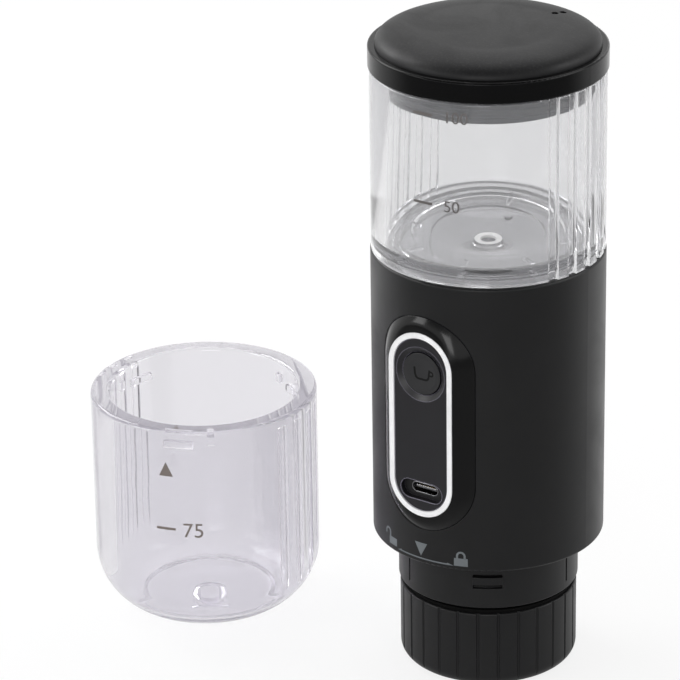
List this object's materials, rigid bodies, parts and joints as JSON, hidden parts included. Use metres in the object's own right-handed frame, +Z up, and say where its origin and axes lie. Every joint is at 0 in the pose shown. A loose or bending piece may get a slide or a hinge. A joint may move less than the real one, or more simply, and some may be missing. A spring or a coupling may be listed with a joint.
{
  "type": "portable capsule coffee machine",
  "caption": "Portable capsule coffee machine: black cylinder with a button panel, clear fluted water tank under a push-in lid, ribbed screw-in capsule holder below, and a clear cup beside it.",
  "frame": {"origin": "centre of the foot of the capsule holder, on the axis of the machine, at the surface it stands on", "axes": "+Z up along the axis, control panel facing -Y, cup standing on the -X side"},
  "size_m": [0.1537, 0.0847, 0.1912],
  "materials": {
    "black_body": "fine matte moulded ABS, soft-touch black",
    "lid_matte": "matte charcoal moulded plastic",
    "gloss_black": "polished black plastic",
    "panel_grey": "smooth dark blue-grey plastic",
    "light_ring": "white light guide",
    "clear_plastic": "clear moulded copolyester",
    "cup_clear": "clear moulded acrylic",
    "grey_silicone": "translucent grey silicone",
    "white_silicone": "white silicone",
    "black_rubber": "black nitrile or silicone",
    "red_silicone": "red food-grade silicone",
    "inner_black": "glass-filled black plastic",
    "seat_grey": "plain light grey moulded plastic",
    "inner_white": "natural moulded plastic",
    "steel": "bright stainless steel",
    "basket_steel": "deep-drawn stainless steel",
    "board_green": "solder-masked glass-epoxy",
    "cell_wrap": "shrink-wrapped cell",
    "motor_can": "zinc-plated steel can",
    "hose_clear": "clear silicone hose"
  },
  "bodies": {
    "machine": {"brew_neck": "black_body", "brew_head": "inner_black", "needle_plate": "steel", "brew_seal": "red_silicone", "deck_screws": "steel", "outer_sleeve": "black_body", "tank_seat": "seat_grey", "panel_bezel": "gloss_black", "light_ring": "light_ring", "control_plate": "panel_grey", "panel_tray": "inner_black", "control_board": "board_green", "button_switch": "inner_black", "usb_port": "steel", "board_screws": "steel", "cell_carrier": "inner_white", "battery_cells": "cell_wrap", "cell_links": "steel", "pump_body": "inner_white", "pump_plunger": "steel", "pump_cover": "inner_white", "pump_motor": "motor_can", "inlet_hose": "hose_clear", "outlet_hose": "hose_clear"},
    "button": {"brew_button": "panel_grey"},
    "pump_rotor": {"pump_shaft": "steel"},
    "holder": {"holder_grip": "black_body", "capsule_basket": "basket_steel", "holder_gasket": "black_rubber"},
    "tank": {"water_tank": "clear_plastic", "outlet_bush": "white_silicone", "outlet_seal": "black_rubber"},
    "lid": {"lid_rim": "gloss_black", "lid_dome": "lid_matte", "lid_plug": "grey_silicone", "lid_seal": "grey_silicone"},
    "cup": {"coffee_cup": "cup_clear"}
  },
  "joints": [
    {"name": "tank_twist", "type": "hinge", "parent": "machine", "child": "tank", "pos_m": [0, 0, 0.1264], "axis": [0, 0, 1], "range_deg": [0, 45]},
    {"name": "lid_lift", "type": "slide", "parent": "tank", "child": "lid", "axis": [0, 0, 1], "range_m": [0, 0.04]},
    {"name": "holder_twist", "type": "hinge", "parent": "machine", "child": "holder", "pos_m": [0, 0, 0.0254], "axis": [0, 0, 1], "range_deg": [-90, 0]},
    {"name": "button_press", "type": "slide", "parent": "machine", "child": "button", "axis": [0, 1, 0], "range_m": [0, 0.0008], "stiffness_N_per_m": 2000},
    {"name": "pump_spin", "type": "hinge", "parent": "machine", "child": "pump_rotor", "pos_m": [0, -0.0086, 0.06], "axis": [0, 0, 1], "continuous": true},
    {"name": "cup_lift", "type": "slide", "parent": "machine", "child": "cup", "axis": [0, 0, 1], "range_m": [0, 0.06]}
  ]
}
